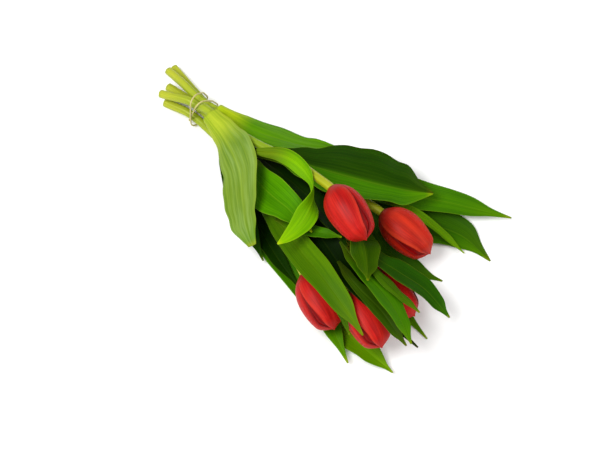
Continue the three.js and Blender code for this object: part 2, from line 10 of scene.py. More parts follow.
import bpy
import numpy as np
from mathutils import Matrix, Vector


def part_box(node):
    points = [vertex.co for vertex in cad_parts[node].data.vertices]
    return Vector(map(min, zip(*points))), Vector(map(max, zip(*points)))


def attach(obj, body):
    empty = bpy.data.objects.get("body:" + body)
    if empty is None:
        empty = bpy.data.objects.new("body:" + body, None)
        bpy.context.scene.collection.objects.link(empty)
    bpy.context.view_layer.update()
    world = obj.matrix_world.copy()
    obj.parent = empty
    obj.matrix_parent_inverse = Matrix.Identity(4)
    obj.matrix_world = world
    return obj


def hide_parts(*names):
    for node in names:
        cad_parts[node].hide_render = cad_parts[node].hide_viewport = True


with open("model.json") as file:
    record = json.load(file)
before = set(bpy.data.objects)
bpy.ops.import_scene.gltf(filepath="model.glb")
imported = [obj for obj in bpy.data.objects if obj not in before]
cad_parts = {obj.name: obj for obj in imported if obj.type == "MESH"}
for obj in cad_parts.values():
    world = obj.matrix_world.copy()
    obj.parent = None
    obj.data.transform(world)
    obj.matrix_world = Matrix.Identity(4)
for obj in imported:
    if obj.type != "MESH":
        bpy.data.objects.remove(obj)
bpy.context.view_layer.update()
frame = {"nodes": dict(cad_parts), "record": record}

MM = 0.001
BUD_NUMBERS = range(1, 6)
PETAL_NUMBERS = (1, 2, 3)          # in each of a bud's two rings
RANDOM_SEED = 5
NOISE_SEEDS = (0, 90)              # the range that a material's noise seed is drawn from

# Rings of the CAD nodes
FACE_COLUMNS = 5                   # vertices across one face of a leaf or tepal
MIDDLE_COLUMN = FACE_COLUMNS // 2
STEM_SIDES = 10
MERGE_DISTANCE = 0.01 * MM         # vertices nearer than this are one

# Refined grids
LEAF_ROWS, LEAF_COLUMNS = 81, 27
PETAL_ROWS, PETAL_COLUMNS = 61, 33
PROFILE_ROWS = 241                 # a petal's outline is read off this many even places
ROW_GATHERING = 1.5                # above 1, a petal's rows gather towards its tip
NORMAL_ROUNDS = 3                  # how often a leaf's normals are averaged with their neighbours
FIRST_ROWS = slice(2, 8)           # rows near a leaf's base that tell which face is up
BAND_SUBDIVISIONS = 2
STEM_ROWS, STEM_COLUMNS = 90, 24

# Leaves. Widths across a blade are shares of half its width.
LEAF_THICKNESS = 0.55 * MM
LEAF_EDGE_THICKNESS = 0.2 * MM
MIDRIB_DEPTH = 0.7 * MM
MIDRIB_WIDTH = 0.09
MIDRIB_FADING = 0.7                # how much of its depth the midrib loses by the tip
MARGIN_WAVE = 0.9 * MM
MARGIN_WAVES = (1.6, 3.0)          # least and most waves along a leaf
MARGIN_WAVE_SHARES = (0.5, 1)      # least and most of MARGIN_WAVE that a leaf has
MARGIN_OFFSET = 0.18               # how far one margin's waves run ahead, as a share of a wave
# Painted shade on the base of a leaf that starts inside the bunch, away from the tie
BASE_SHADE_REACH = 50 * MM               # a base's unshaded share falls by 1 over this distance from the tie, as painted shade grows
UNSHADED_SHARE_AT_TIE = 1.7              # above 1, so a base near the tie keeps its own pale colour with no painted shade
LEAST_UNSHADED_SHARE = 0.12

# Petals, in shares of a petal's length from its foot where no unit is given
PETAL_THICKNESS = 0.8 * MM
PETAL_EDGE_THICKNESS = 0.25 * MM
FOOT_SHARE = 0.1                   # the part that rounds in to meet the stem
FOOT_NARROWING = 0.42              # how much of its radius it loses there
FOOT_DROP = 2.2 * MM               # how far the foot reaches below its CAD tepal
ENDING_START = 0.7                 # where the petal starts to close towards its tip
TIP_CLOSING = 0.94                 # how much of its radius it loses at the tip
TIP_CLOSING_POWER = 8              # the higher, the blunter the tip
TIP_ROUNDING = 1.2 * MM            # how much shorter than its CAD tepals a bud is
TIP_ARCH = 0.8 * MM                # how much lower the tip's corners are than its middle
NARROWING_START = 0.2              # where the petal starts to cover less of the bud
NARROWING_POWER = 1.4
TIP_OPENING = 0.9                  # how much of that narrowing is undone at the tip
PETAL_NARROWING = {"outer": 0.42, "inner": 0.1}
PETAL_WIDENING = {"outer": 1.12, "inner": 1.04}    # times the angle that its CAD tepal covers
PETAL_MIDRIB, PETAL_MIDRIB_WIDTH = 0.25 * MM, 0.12
PETAL_FURROW, PETAL_FURROW_WIDTH = 0.14 * MM, 0.14
PETAL_FURROW_PLACE = 0.3           # from the middle, as a share of half the width
PETAL_RUFFLE, PETAL_RUFFLES = 0.3 * MM, 1.3
PETAL_RUFFLE_OFFSET = 0.25
INNER_PETAL_RISE = 1.0 * MM        # how much closer to the outer petals the inner ones lie
INNER_PETAL_LAP = 0.3 * MM         # how far one edge lies in and the other out
FRONT_PETAL_LIFT = 1.1 * MM        # the uppermost petal's edges lie over its neighbours
TUCKED_EDGE = -0.5 * MM            # the edge that a neighbour tucks under the front petal
FREE_EDGE = 0.35 * MM              # its other edge, which lies out or in by this much
REAR_TIP_DROP = 1.1 * MM           # how much lower the tips behind the front petal are

# Stems
STEM_RIB = 0.12 * MM
STEM_RIBS = 6
STEM_TWIST = 3                     # how far the ribs' sine shifts from end to end, in radians
STEM_PLUMPNESS = 0.35 * MM         # how much thicker a stem is than its CAD tube
STEM_SWELL = 0.03                  # as a share of its radius
STEM_SWELLS = 2.3                  # along the stem
STEM_END_BULGE = 0.25 * MM         # how far the middle of each end stands out

# Camera and light
CAMERA_AZIMUTH = 42
CAMERA_ELEVATION = 65
CAMERA_DISTANCE = 1.4286
CAMERA_LENS = 90
BAND_TO_TARGET = Vector((164.3 * MM, -34.3 * MM, 0.0))
TARGET_HEIGHT = 30 * MM
BAND_LOW, BAND_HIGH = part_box("rubber_band")
TIE = [(low + high) / 2 for low, high in zip(BAND_LOW, BAND_HIGH)]
CAMERA_TARGET = Vector((
    TIE[0] + BAND_TO_TARGET.x,
    TIE[1] + BAND_TO_TARGET.y,
    TARGET_HEIGHT,
))
# Azimuth past the camera's, elevation, distance and size in metres, and power
LIGHTS = {
    "key": (-70, 60, 1.5, 0.9, 22),
    "fill": (80, 45, 1.6, 1.2, 9),
}
WORLD_STRENGTH = 0.55
FLOOR_HALF = 3.0


def away_from_target(azimuth, elevation):
    """The unit vector from the camera's target at an azimuth and elevation in degrees."""
    a, e = math.radians(azimuth), math.radians(elevation)
    return Vector((math.sin(a) * math.cos(e), -math.cos(a) * math.cos(e), math.sin(e)))


VIEW_BACK = np.array(away_from_target(CAMERA_AZIMUTH, CAMERA_ELEVATION))


# ---- reading the frame ---------------------------------------------------------------------

def merged_mesh(node):
    """The CAD node's distinct vertices and, for each one, the set of its neighbours."""
    mesh = frame["nodes"][node].data
    places = {}
    points = []
    index_of = []
    for vertex in mesh.vertices:
        key = tuple(round(value / MERGE_DISTANCE) for value in vertex.co)
        if key not in places:
            places[key] = len(points)
            points.append(np.array(vertex.co))
        index_of.append(places[key])
    neighbours = [set() for _ in points]
    for edge in mesh.edges:
        a, b = (index_of[k] for k in edge.vertices)
        if a != b:
            neighbours[a].add(b)
            neighbours[b].add(a)
    return np.array(points), neighbours


def tightest_cluster(points, size):
    """The vertices of the narrowest ring: the tip of a leaf or tepal."""
    gaps = np.linalg.norm(points[:, None] - points[None], axis=2)
    nearest = np.argsort(gaps, axis=1)[:, :size]
    spans = np.take_along_axis(gaps, nearest, axis=1)[:, -1]
    return set(nearest[int(np.argmin(spans))].tolist())


def rings_from(points, neighbours, start):
    """Rings of vertices in order, stepping outwards along the edges from the start ring."""
    rings = [sorted(start)]
    seen = set(start)
    while len(seen) < len(points):
        following = set().union(*(neighbours[i] for i in rings[-1])) - seen
        if not following:
            break
        rings.append(sorted(following))
        seen |= following
    return rings


def slab_grid(node):
    """The two faces of a leaf or tepal as (rows, columns, 2, 3), from its tip to its base."""
    points, neighbours = merged_mesh(node)
    start = tightest_cluster(points, 2 * FACE_COLUMNS)
    rows = []
    across = None
    for ring in rings_from(points, neighbours, start):
        ring_points = points[ring]
        middle = ring_points.mean(axis=0)
        _, _, axes = np.linalg.svd(ring_points - middle)
        if across is not None and np.dot(axes[0], across) < 0:
            axes[0] = -axes[0]
        across = axes[0]
        order = np.argsort((ring_points - middle) @ across)
        rows.append(ring_points[order].reshape(FACE_COLUMNS, 2, 3))
    return np.array(rows)


def stem_line(node):
    """Centres of a stem's rings from its cut end to its top, and its radius."""
    points, neighbours = merged_mesh(node)
    first = int(np.argmin(points[:, 0]))
    order = np.argsort(np.linalg.norm(points - points[first], axis=1))
    start = None
    for count in range(STEM_SIDES, 2 * STEM_SIDES + 1):
        candidate = set(order[:count].tolist())
        rings = rings_from(points, neighbours, candidate)
        if all(len(ring) == STEM_SIDES for ring in rings):
            start = candidate
            break
    if start is None:
        raise ValueError(f"no cut end was found on {node}")
    rings = rings_from(points, neighbours, start)
    centres = np.array([points[ring].mean(axis=0) for ring in rings])
    radius = np.linalg.norm(points[rings[0]] - centres[0], axis=1).mean()
    return centres, radius


# ---- smooth curves and grids -----------------------------------------------------------------

def smooth(values, count):
    """Catmull-Rom curve through values along the first axis, sampled at count even places."""
    values = np.asarray(values, float)
    before = 2 * values[0] - values[1]
    after = 2 * values[-1] - values[-2]
    padded = np.concatenate([[before], values, [after]])
    places = np.linspace(0, len(values) - 1, count)
    index = np.minimum(places.astype(int), len(values) - 2)
    t = (places - index).reshape((-1,) + (1,) * (values.ndim - 1))
    p0, p1, p2, p3 = (padded[index + k] for k in range(4))
    return 0.5 * (
        2 * p1 + (p2 - p0) * t
        + (2 * p0 - 5 * p1 + 4 * p2 - p3) * t ** 2
        + (3 * p1 - p0 - 3 * p2 + p3) * t ** 3
    )


def refine(grid, rows, columns):
    """A grid of points resampled smoothly to so many rows and columns."""
    along = smooth(grid, rows)
    return np.swapaxes(smooth(np.swapaxes(along, 0, 1), columns), 0, 1)


def grid_normals(grid):
    """The unit normal at each point of a grid."""
    along = np.gradient(grid, axis=0)
    across = np.gradient(grid, axis=1)
    normals = np.cross(across, along)
    lengths = np.linalg.norm(normals, axis=2, keepdims=True)
    return normals / np.maximum(lengths, 1e-12)


def evened(values, rounds):
    """A grid of vectors averaged with its neighbours along the rows and columns."""
    for _ in range(rounds):
        padded = np.pad(values, ((1, 1), (1, 1), (0, 0)), mode="edge")
        values = (
            2 * padded[1:-1, 1:-1] + padded[:-2, 1:-1] + padded[2:, 1:-1]
            + padded[1:-1, :-2] + padded[1:-1, 2:]
        ) / 6
    return values


# ---- building pieces -------------------------------------------------------------------------

def new_object(name, data):
    made = bpy.data.objects.new(name, data)
    bpy.context.scene.collection.objects.link(made)
    return made


def add_piece(name, vertices, faces, uvs, materials, nodes, face_materials=None):
    """A smooth-shaded mesh that rides on the bunch and stands for its CAD nodes."""
    mesh = bpy.data.meshes.new(name)
    mesh.from_pydata([tuple(v) for v in vertices], [], faces)
    layer = mesh.uv_layers.new(name="blade")
    for loop in mesh.loops:
        layer.data[loop.index].uv = uvs[loop.vertex_index]
    for material in materials:
        mesh.materials.append(material)
    for polygon in mesh.polygons:
        polygon.use_smooth = True
        if face_materials is not None:
            polygon.material_index = face_materials[polygon.index]
    mesh.update()
    piece = new_object(name, mesh)
    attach(piece, "root")
    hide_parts(*nodes)
    return piece


def slab_mesh(grid, normals, thickness):
    """A closed thin shell round a grid of mid-surface points. thickness is one value a point."""
    rows, columns = grid.shape[:2]
    half = normals * (thickness / 2)[:, :, None]
    vertices = np.concatenate([(grid + half).reshape(-1, 3), (grid - half).reshape(-1, 3)])
    count = rows * columns
    faces = []
    for i in range(rows - 1):
        for j in range(columns - 1):
            a, b = i * columns + j, i * columns + j + 1
            c, d = b + columns, a + columns
            faces.append((a, b, c, d))
            faces.append((d + count, c + count, b + count, a + count))
    rim = list(range(columns))
    rim += [i * columns + columns - 1 for i in range(1, rows)]
    rim += [(rows - 1) * columns + j for j in range(columns - 2, -1, -1)]
    rim += [i * columns for i in range(rows - 2, 0, -1)]
    for k, a in enumerate(rim):
        b = rim[(k + 1) % len(rim)]
        faces.append((b, a, a + count, b + count))
    shares = [(j / (columns - 1), i / (rows - 1)) for i in range(rows) for j in range(columns)]
    return vertices, faces, shares + shares


def blade_thickness(middle, edge, across, rows):
    """A thickness for each point of a grid: even across its middle and thin at its edges."""
    profile = edge + (middle - edge) * (1 - across ** 4)
    return profile * np.ones((rows, 1))


def weld(piece):
    """Joins the vertices that lie on each other, so the piece is one closed surface."""
    joined = piece.modifiers.new("weld", "WELD")
    joined.merge_threshold = MERGE_DISTANCE


# ---- materials -------------------------------------------------------------------------------

BLACK = (0, 0, 0, 1)
WHITE = (1, 1, 1, 1)


class Nodes:
    """Short calls for building one material's node tree."""

    def __init__(self, name):
        self.material = bpy.data.materials.new(name)
        self.material.use_nodes = True
        self.tree = self.material.node_tree
        self.shader = self.tree.nodes["Principled BSDF"]

    def add(self, kind, **values):
        node = self.tree.nodes.new(kind)
        for key, value in values.items():
            setattr(node, key, value)
        return node

    def link(self, output, target):
        self.tree.links.new(output, target)

    def feed(self, target, value):
        if hasattr(value, "is_output"):
            self.link(value, target)
        else:
            target.default_value = value

    def math(self, operation, a, b=0.0):
        node = self.add("ShaderNodeMath", operation=operation)
        for target, value in zip(node.inputs, (a, b)):
            self.feed(target, value)
        return node.outputs[0]

    def mix(self, factor, a, b, blend="MIX"):
        node = self.add("ShaderNodeMix", data_type="RGBA", blend_type=blend)
        self.feed(node.inputs["Factor"], factor)
        self.feed(node.inputs["A"], a)
        self.feed(node.inputs["B"], b)
        return node.outputs["Result"]

    def glaze(self, body, mask, strength, tint):
        """Lays a tint over body where the mask is light."""
        return self.mix(self.math("MULTIPLY", mask, strength), body, tint)

    def ramp(self, factor, stops):
        """A colour for the factor, eased between stops of (place, colour)."""
        node = self.add("ShaderNodeValToRGB")
        elements = node.color_ramp.elements
        while len(elements) < len(stops):
            elements.new(0.5)
        for element, (place, colour) in zip(elements, stops):
            element.position = place
            element.color = colour
        node.color_ramp.interpolation = "EASE"
        self.link(factor, node.inputs["Fac"])
        return node.outputs["Color"]

    def blade(self):
        """Across and along shares of a leaf, petal or stem, each 0 to 1."""
        uv = self.add("ShaderNodeUVMap", uv_map="blade")
        split = self.add("ShaderNodeSeparateXYZ")
        self.link(uv.outputs[0], split.inputs[0])
        return split.outputs[0], split.outputs[1]

    def off_middle(self, x):
        """How far across the blade a place is from its middle, 0 to 0.5."""
        return self.math("ABSOLUTE", self.math("SUBTRACT", x, 0.5))

    def grain(self, kind, scale):
        """A texture in the object's own coordinates, at so many cells a metre."""
        place = self.add("ShaderNodeTexCoord")
        node = self.add(kind)
        node.inputs["Scale"].default_value = scale
        self.link(place.outputs["Object"], node.inputs["Vector"])
        return node

    def noise(self, x, y, across_scale, along_scale, detail, seed):
        """Noise drawn out along the blade: fine across it and long along it."""
        joined = self.add("ShaderNodeCombineXYZ")
        self.link(self.math("MULTIPLY", x, across_scale), joined.inputs[0])
        self.link(self.math("MULTIPLY", y, along_scale), joined.inputs[1])
        joined.inputs[2].default_value = seed
        node = self.add("ShaderNodeTexNoise")
        node.inputs["Scale"].default_value = 1.0
        node.inputs["Detail"].default_value = detail
        self.link(joined.outputs[0], node.inputs["Vector"])
        return node.outputs["Fac"]

    def bump(self, height, strength, distance):
        node = self.add("ShaderNodeBump")
        node.inputs["Strength"].default_value = strength
        node.inputs["Distance"].default_value = distance
        self.link(height, node.inputs["Height"])
        self.link(node.outputs["Normal"], self.shader.inputs["Normal"])

    def finish(self, **sockets):
        """Sets the shader's sockets, named with _ for a space, and gives the material."""
        for name, value in sockets.items():
            self.feed(self.shader.inputs[name.replace("_", " ")], value)
        return self.material


def colour(red, green, blue):
    """A display colour, 0 to 255 a channel, as linear light with full alpha."""
    def linear(value):
        share = value / 255
        return share / 12.92 if share <= 0.04045 else ((share + 0.055) / 1.055) ** 2.4
    return (linear(red), linear(green), linear(blue), 1.0)


# Base, middle and tip of the blade, and how strong its greyish bloom is, by the record's slot
# leaf_bright and leaf_dark hold painted light and shade: one green drawn as lit and as lying in
# shade
LEAF_TONES = {
    "leaf_glaucous": [(152, 170, 42), (104, 132, 40), (84, 122, 20), 0.35],
    "leaf_pale": [(150, 172, 20), (74, 126, 4), (66, 118, 2), 0.03],
    "leaf_mid": [(140, 166, 20), (54, 106, 0), (74, 120, 0), 0.0],
    "leaf_bright": [(150, 172, 30), (80, 124, 0), (96, 134, 0), 0.0],
    "leaf_dark": [(90, 124, 10), (26, 68, 0), (44, 90, 0), 0.0],
    "leaf_olive": [(110, 136, 10), (50, 84, 0), (70, 100, 0), 0.0],
}
# Painted light and shade: how light each half of a leaf is drawn, left and right of its midrib from
# its base
LEAF_PAINTED_LIGHT = {
    "leaf_02": (0.6, 0.6), "leaf_04": (0.3, 1.15), "leaf_05": (0.95, 0.95),
    "leaf_06": (0.55, 0.8), "leaf_08": (0.6, 0.7), "leaf_09": (0.65, 0.85),
    "leaf_13": (0.85, 0.95), "leaf_14": (0.5, 0.6), "leaf_15": (0.14, 0.18),
    "leaf_16": (0.72, 0.62), "leaf_17": (1.6, 1.55), "leaf_19": (1.45, 1.35),
    "leaf_20": (0.3, 0.35), "leaf_21": (1.15, 1.2), "leaf_22": (0.45, 0.45),
}
LEAF_VEINS = 19                    # pale lines across a blade
INSIDE_SHADE = 0.3                 # painted shade: how light the base of a leaf that starts inside is, as a share of its middle tone
LEAF_BLOOM = (158, 184, 112)
LEAF_MARGIN = (160, 184, 40)
LEAF_TIP = (176, 170, 20)
ORANGE_BUD, ORANGE_TINT = 2, 12    # the bud that is more orange, and the green that it gains
VESSEL_CELLS = 1400                # cells a metre on a stem's cut face
BAND_GRAIN = 900
FLOOR_GRAIN = 40


def leaf_material(slot, name, base_unshaded_share, painted_light_halves, seed):
    """base_unshaded_share: 1 for a leaf from the tie, near 0 for one from inside, whose base gets
    painted shade.
    painted_light_halves: painted light and shade, how light the blade is drawn each side of its
    midrib."""
    base, middle, tip = (colour(*tone) for tone in LEAF_TONES[slot][:3])
    # painted shade: a base that starts inside is drawn darker, down to INSIDE_SHADE of its middle
    # tone
    base = tuple(m * INSIDE_SHADE + (b - m * INSIDE_SHADE) * base_unshaded_share for b, m in zip(base, middle))
    bloom_strength = LEAF_TONES[slot][3]
    n = Nodes(name)
    x, y = n.blade()
    body = n.ramp(y, [(0.0, base), (0.1, base), (0.32, middle), (0.8, middle), (1.0, tip)])
    streaks = n.noise(x, y, 30, 1.4, 4.0, seed)
    broad = n.noise(x, y, 3.2, 2.0, 2.0, seed + 7)
    light = n.math("ADD", n.math("MULTIPLY", streaks, 0.5), n.math("MULTIPLY", broad, 0.5))
    shade = n.ramp(light, [(0.3, (0.62, 0.74, 0.5, 1)), (0.7, (1.34, 1.22, 1.3, 1))])
    body = n.mix(1.0, body, shade, "MULTIPLY")
    bloom = n.ramp(n.noise(x, y, 9, 3.0, 5.0, seed + 13), [(0.4, BLACK), (0.8, WHITE)])
    bloom = n.mix(1.0, bloom, n.ramp(y, [(0.1, BLACK), (0.3, WHITE)]), "MULTIPLY")
    body = n.glaze(body, bloom, bloom_strength, colour(*LEAF_BLOOM))
    veins = n.math("SINE", n.math("MULTIPLY", x, 2 * math.pi * LEAF_VEINS))
    vein_lines = n.ramp(veins, [(0.55, BLACK), (1.0, WHITE)])
    body = n.glaze(body, vein_lines, 0.04, colour(*LEAF_MARGIN))
    from_middle = n.off_middle(x)
    rib = n.ramp(from_middle, [(0.0, WHITE), (0.022, BLACK)])
    body = n.glaze(body, rib, 0.1, colour(*LEAF_MARGIN))
    margin = n.ramp(from_middle, [(0.478, BLACK), (0.496, WHITE)])
    body = n.glaze(body, margin, 0.22, colour(*LEAF_MARGIN))
    point = n.ramp(y, [(0.955, BLACK), (1.0, WHITE)])
    body = n.glaze(body, point, 0.3, colour(*LEAF_TIP))
    # painted light and shade: each half of the blade drawn lighter or darker for how it lies in the
    # light
    left, right = ((value, value, value, 1) for value in painted_light_halves)
    body = n.mix(1.0, body, n.ramp(x, [(0.42, left), (0.56, right)]), "MULTIPLY")
    relief = n.math("ADD", n.math("MULTIPLY", veins, 0.2), streaks)
    n.bump(relief, 0.3, 0.2 * MM)
    rough = n.math("ADD", 0.36, n.math("MULTIPLY", broad, 0.22))
    return n.finish(
        Base_Color=body, Roughness=rough, Specular_IOR_Level=0.03, Subsurface_Weight=0.03,
        Subsurface_Radius=(0.002, 0.004, 0.001), Subsurface_Scale=0.5,
    )


def petal_material(name, number, is_inner, is_front, seed):
    """Streaked red, pale edges on the front petal only, and painted shade where petals part."""
    orange = ORANGE_TINT if number == ORANGE_BUD else 0
    deep = colour(118, 1, 2) if is_inner else colour(138, 5 + orange, 5)
    main = colour(160, 8, 8) if is_inner else colour(182, 22 + orange, 15)
    # painted shade: every petal but the front one is drawn dark at its edges, where they lie under
    # neighbours
    edge = colour(200, 56 + orange, 36) if is_front else colour(96, 0, 2)
    # painted shade: an inner petal's middle, seen in the slit between outer petals, is drawn near
    # black
    middle = colour(70, 0, 2) if is_inner else colour(200, 44 + orange, 28)
    foot = colour(140, 26, 18)
    n = Nodes(name)
    x, y = n.blade()
    from_middle = n.off_middle(x)
    streaks = n.noise(x, y, 44, 2.4, 5.0, seed)
    broad = n.noise(x, y, 6, 2.0, 2.0, seed + 5)
    light = n.math("ADD", n.math("MULTIPLY", streaks, 0.6), n.math("MULTIPLY", broad, 0.4))
    body = n.ramp(light, [(0.32, deep), (0.62, main)])
    # pale edges on the front petal; on the others, painted shade drawn dark along the edges
    edges = n.ramp(from_middle, [(0.34, BLACK), (0.48, WHITE)])
    body = n.glaze(body, edges, 0.4 if is_front else 0.85, edge)
    # on an inner petal this is painted shade down its middle; on an outer petal, a lighter midrib
    rib = n.ramp(from_middle, [(0.0, WHITE), (0.09 if is_inner else 0.2, BLACK)])
    body = n.glaze(body, rib, 0.6 if is_inner else 0.3, middle)
    base = n.ramp(y, [(0.02, WHITE), (0.14, BLACK)])
    body = n.glaze(body, base, 0.7, foot)
    n.bump(streaks, 0.25, 0.2 * MM)
    rough = n.math("ADD", 0.4, n.math("MULTIPLY", broad, 0.16))
    return n.finish(
        Base_Color=body, Roughness=rough, Specular_IOR_Level=0.12, Sheen_Weight=0.03,
        Sheen_Roughness=0.4, Sheen_Tint=colour(230, 120, 100), Subsurface_Weight=0.06,
        Subsurface_Radius=(0.004, 0.001, 0.001), Subsurface_Scale=0.5,
    )


def stem_material(name, seed):
    """Pale green at the cut end, deeper along the middle and yellower under the bud."""
    n = Nodes(name)
    x, y = n.blade()
    body = n.ramp(y, [(0.0, colour(164, 170, 40)), (0.2, colour(146, 162, 32)),
                      (0.6, colour(122, 148, 16)), (1.0, colour(156, 160, 22))])
    streaks = n.noise(x, y, 30, 5.0, 4.0, seed)
    shade = n.ramp(streaks, [(0.3, (0.8, 0.84, 0.74, 1)), (0.7, (1.14, 1.12, 1.08, 1))])
    body = n.mix(1.0, body, shade, "MULTIPLY")
    n.bump(streaks, 0.3, 0.3 * MM)
    return n.finish(
        Base_Color=body, Roughness=0.42, Specular_IOR_Level=0.25, Subsurface_Weight=0.08,
        Subsurface_Radius=(0.003, 0.004, 0.001), Subsurface_Scale=0.5,
    )


def cut_material():
    """A stem's cut face: pale wet pith with a greener rim and darker vessel dots."""
    n = Nodes("stem_cut")
    x, y = n.blade()
    body = n.ramp(y, [(0.0, colour(196, 200, 96)), (0.7, colour(182, 188, 66)),
                      (0.95, colour(128, 142, 24))])
    cells = n.grain("ShaderNodeTexVoronoi", VESSEL_CELLS)
    dots = n.ramp(cells.outputs["Distance"], [(0.12, (0.62, 0.66, 0.42, 1)), (0.3, WHITE)])
    body = n.mix(1.0, body, dots, "MULTIPLY")
    n.bump(cells.outputs["Distance"], 0.4, 0.2 * MM)
    return n.finish(Base_Color=body, Roughness=0.35)


def band_material():
    n = Nodes("band_rubber")
    grain = n.grain("ShaderNodeTexNoise", BAND_GRAIN)
    body = n.ramp(grain.outputs["Fac"], [(0.3, colour(172, 162, 98)), (0.7, colour(194, 184, 124))])
    n.bump(grain.outputs["Fac"], 0.25, 0.1 * MM)
    return n.finish(Base_Color=body, Roughness=0.55, Specular_IOR_Level=0.35)


# ---- leaves ----------------------------------------------------------------------------------

def leaf_relief(share, across, wave):
    """Height of the blade's relief in metres: a folded midrib and a margin that ripples."""
    midrib = -MIDRIB_DEPTH * np.exp(-(across / MIDRIB_WIDTH) ** 2) * (1 - MIDRIB_FADING * share)
    turns = wave["count"] * share + wave["phase"] + MARGIN_OFFSET * np.sign(across)
    ripple = np.sin(2 * math.pi * turns)
    fade = np.sin(math.pi * np.clip(share, 0, 1)) ** 0.7
    return midrib + MARGIN_WAVE * wave["height"] * ripple * np.abs(across) ** 3 * fade


def make_leaf(node, slot, draw):
    """One blade on its CAD leaf's middle surface, from its base to its tip."""
    mid = slab_grid(node).mean(axis=2)[::-1]
    grid = refine(mid, LEAF_ROWS, LEAF_COLUMNS)
    normals = grid_normals(grid)
    if normals[FIRST_ROWS].mean(axis=(0, 1))[2] < 0:
        grid = grid[:, ::-1]
        normals = grid_normals(grid)
    normals = evened(normals, NORMAL_ROUNDS)
    share = np.linspace(0, 1, LEAF_ROWS)[:, None]
    across = np.linspace(-1, 1, LEAF_COLUMNS)[None]
    wave = {
        "count": draw.uniform(*MARGIN_WAVES),
        "phase": draw.random(),
        "height": draw.uniform(*MARGIN_WAVE_SHARES),
    }
    grid = grid + normals * leaf_relief(share, across, wave)[:, :, None]
    thickness = blade_thickness(LEAF_THICKNESS, LEAF_EDGE_THICKNESS, across, LEAF_ROWS)
    vertices, faces, uvs = slab_mesh(grid, grid_normals(grid), thickness)
    # the further its base lies from the tie, the more painted shade the base gets
    from_tie = math.dist(grid[0].mean(axis=0), TIE)
    base_unshaded_share = min(max(UNSHADED_SHARE_AT_TIE - from_tie / BASE_SHADE_REACH, LEAST_UNSHADED_SHARE), 1.0)
    painted_light_halves = LEAF_PAINTED_LIGHT.get(node, (1.0, 1.0))
    material = leaf_material(slot, f"{node}_green", base_unshaded_share, painted_light_halves, draw.uniform(*NOISE_SEEDS))
    add_piece(f"{node}_blade", vertices, faces, uvs, [material], [node])


# ---- buds ------------------------------------------------------------------------------------

def bud_axis(number):
    """The bud's base point and unit axis, from the outer tepals' own rings."""
    grids = [slab_grid(f"bud_{number}_outer_{k}") for k in PETAL_NUMBERS]
    tips = np.array([grid[0].mean(axis=(0, 1)) for grid in grids])
    bases = np.array([grid[-1, MIDDLE_COLUMN].mean(axis=0) for grid in grids])
    base, tip = bases.mean(axis=0), tips.mean(axis=0)
    return base, (tip - base) / np.linalg.norm(tip - base)


def petal_facing(grid, base, axis):
    """The way a tepal's middle looks from the bud's axis."""
    relative = grid[len(grid) // 2, MIDDLE_COLUMN].mean(axis=0) - base
    facing = relative - (relative @ axis) * axis
    return facing / np.linalg.norm(facing)


def petal_profile(grid, base, axis, share):
    """The tepal's height up the bud's axis and its radius about it at each share of its length,
    the way that it faces, and half the angle that it covers."""
    relative = grid - base
    heights = relative @ axis
    radial = relative - heights[..., None] * axis
    outer = np.linalg.norm(radial, axis=3).max(axis=2)
    facing = petal_facing(grid, base, axis)
    edge = radial[:, -1].mean(axis=1)
    half_angles = np.abs(np.arctan2(edge @ np.cross(axis, facing), edge @ facing))
    half_angle = half_angles[: len(half_angles) // 2 + 1].max()
    rings = np.stack([heights[:, MIDDLE_COLUMN, 0], outer[:, MIDDLE_COLUMN]], 1)
    profile = smooth(rings, PROFILE_ROWS)
    places = share * (PROFILE_ROWS - 1)
    height, radius = (
        np.interp(places, np.arange(PROFILE_ROWS), profile[:, column]) for column in (0, 1))
    return height, radius, facing, half_angle


def rising(share, start):
    """0 as far as start, and from there evenly up to 1 at the tip."""
    return np.clip((share - start) / (1 - start), 0, 1)


def petal_relief(share, across, foot, ending, laps, phase):
    """How far out the petal's surface lies: its lapping edges, midrib, furrows and ruffle."""
    grown = (1 - foot) * (1 - ending ** 4)
    off_middle = np.abs(across)
    edges = np.where(across < 0, laps[0], laps[1]) * off_middle ** 1.5 * grown
    midrib = PETAL_MIDRIB * np.exp(-(across / PETAL_MIDRIB_WIDTH) ** 2) * np.sin(math.pi * share)
    into_furrow = (off_middle - PETAL_FURROW_PLACE) / PETAL_FURROW_WIDTH
    furrow = -PETAL_FURROW * np.exp(-into_furrow ** 2) * grown
    turns = PETAL_RUFFLES * share + phase + PETAL_RUFFLE_OFFSET * np.sign(across)
    ruffle = PETAL_RUFFLE * np.sin(2 * math.pi * turns) * off_middle ** 4 * grown
    return edges + midrib + furrow + ruffle


